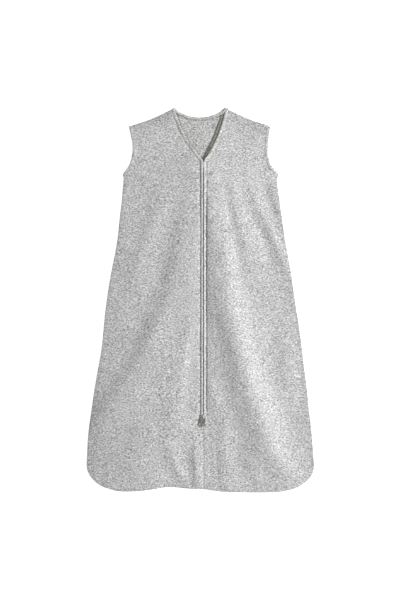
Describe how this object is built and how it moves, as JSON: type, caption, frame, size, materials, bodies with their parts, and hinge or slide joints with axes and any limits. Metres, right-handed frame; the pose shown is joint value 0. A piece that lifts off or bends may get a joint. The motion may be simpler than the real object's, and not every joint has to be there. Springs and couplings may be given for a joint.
{
  "type": "baby sleeping bag",
  "caption": "Sleeveless knit baby sleeping bag with a V neck, rounded lower corners and a covered centre zip that opens upwards.",
  "frame": {"origin": "middle of the underside of the overall box, on the surface that the bag lies on", "axes": "+X to the viewer's right when the bag is seen from the front with its neck up, +Y from the hem to the neck, +Z out of the front"},
  "size_m": [0.441, 0.75, 0.0205],
  "materials": {
    "knit": "heather grey cotton knit",
    "binding": "heather grey cotton knit, folded",
    "zip_tape": "woven tape",
    "zip_coil": "moulded coil",
    "thread": "sewing thread",
    "zip_end_metal": "dull nickel",
    "slider_metal": "dark nickel",
    "spring_steel": "bright"
  },
  "bodies": {
    "bag": {"back_panel": "knit", "front_left_panel": "knit", "front_right_panel": "knit", "front_left_edge": "knit", "front_right_edge": "knit", "neck_binding_back": "binding", "armhole_binding_left": "binding", "armhole_binding_right": "binding", "centre_facing": "knit", "bar_tack": "thread", "bottom_stop_left": "zip_end_metal", "bottom_stop_right": "zip_end_metal"},
    "lapel_left": {"front_left_lapel": "knit", "neck_binding_left": "binding", "zip_lip_left": "knit", "zip_tape_left": "zip_tape", "zip_coil_left": "zip_coil", "insert_pin": "zip_end_metal"},
    "lapel_right": {"front_right_lapel": "knit", "neck_binding_right": "binding", "zip_lip_right": "knit", "zip_tape_right": "zip_tape", "zip_coil_right": "zip_coil", "retainer_pin": "zip_end_metal", "retainer_box": "zip_end_metal"},
    "slider": {"slider_body": "slider_metal", "slider_crown": "slider_metal", "slider_lock_spring": "spring_steel"},
    "pull": {"pull_tab": "slider_metal"}
  },
  "joints": [
    {"name": "lapel_left_fold", "type": "hinge", "parent": "bag", "child": "lapel_left", "pos_m": [0.0075, -0.232, 0.018], "axis": [0.082, -0.9966, 0], "range_deg": [0, 165]},
    {"name": "lapel_right_fold", "type": "hinge", "parent": "bag", "child": "lapel_right", "pos_m": [0.0075, -0.232, 0.018], "axis": [0.0614, 0.9981, 0], "range_deg": [0, 130]},
    {"name": "zip_slide", "type": "slide", "parent": "lapel_right", "child": "slider", "axis": [0, 1, 0], "range_m": [0, 0.47], "deforming": ["zip_lip_left", "zip_lip_right", "zip_tape_left", "zip_tape_right", "zip_coil_left", "zip_coil_right"]},
    {"name": "pull_swing", "type": "hinge", "parent": "slider", "child": "pull", "pos_m": [0.0075, -0.2292, 0.0184], "axis": [-0.9744, 0.225, 0], "range_deg": [0, 140]}
  ],
  "couplings": [
    {"joint": "lapel_left_fold", "follows": "zip_slide", "rad_per_m": 6.127},
    {"joint": "lapel_right_fold", "follows": "zip_slide", "rad_per_m": 4.827}
  ]
}
